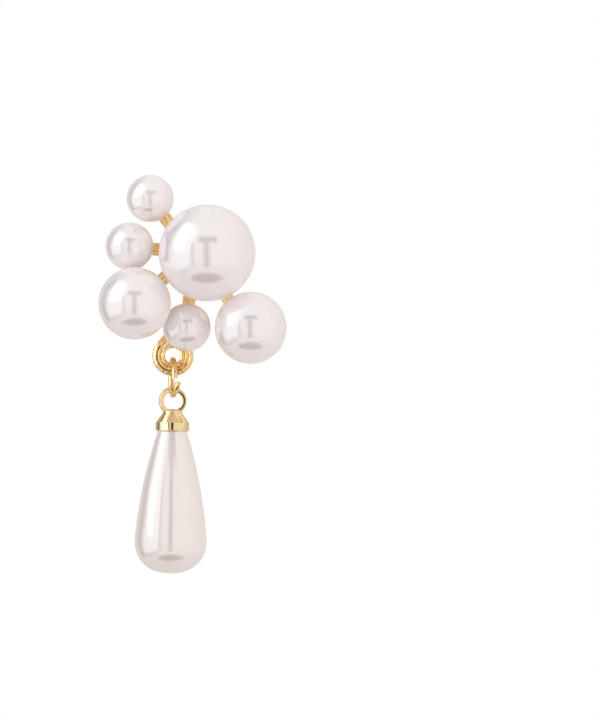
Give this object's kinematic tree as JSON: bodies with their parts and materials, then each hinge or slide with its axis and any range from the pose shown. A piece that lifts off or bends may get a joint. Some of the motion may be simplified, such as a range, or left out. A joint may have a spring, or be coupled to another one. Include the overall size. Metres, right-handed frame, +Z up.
{
  "type": "pearl drop earring",
  "caption": "Drop earring: round pearls in a cluster on a ridged gold frame with an ear post, and a pear-shaped pearl with a gold cap swinging from a jump ring.",
  "frame": {"origin": "on the ear post's axis, at the back of its pad, where the ear lobe sits", "axes": "+X to the viewer's right, +Z up, -Y the front; the post points along +Y"},
  "size_m": [0.0234, 0.0244, 0.0493],
  "materials": {
    "gold_setting": "polished",
    "gold_wire": "polished",
    "gold_cap": "polished",
    "post_steel": "satin",
    "round_pearl": "gloss",
    "drop_pearl": "gloss"
  },
  "bodies": {
    "cluster": {"setting": "gold_setting", "ear_post": "post_steel", "pearl_large": "round_pearl", "pearl_medium_left": "round_pearl", "pearl_medium_right": "round_pearl", "pearl_small_top": "round_pearl", "pearl_small_middle": "round_pearl", "pearl_small_bottom": "round_pearl"},
    "ring": {"jump_ring": "gold_wire"},
    "drop": {"drop_cap": "gold_cap", "drop_pearl": "drop_pearl"}
  },
  "joints": [
    {"name": "ring_swing", "type": "hinge", "parent": "cluster", "child": "ring", "pos_m": [-0.00247, -0.00115, -0.01442], "axis": [-0.9945, -0.1045, 0], "range_deg": [-80, 60]},
    {"name": "drop_swing", "type": "hinge", "parent": "ring", "child": "drop", "pos_m": [-0.00247, -0.00115, -0.01757], "axis": [0, 1, 0], "range_deg": [-60, 80]}
  ]
}
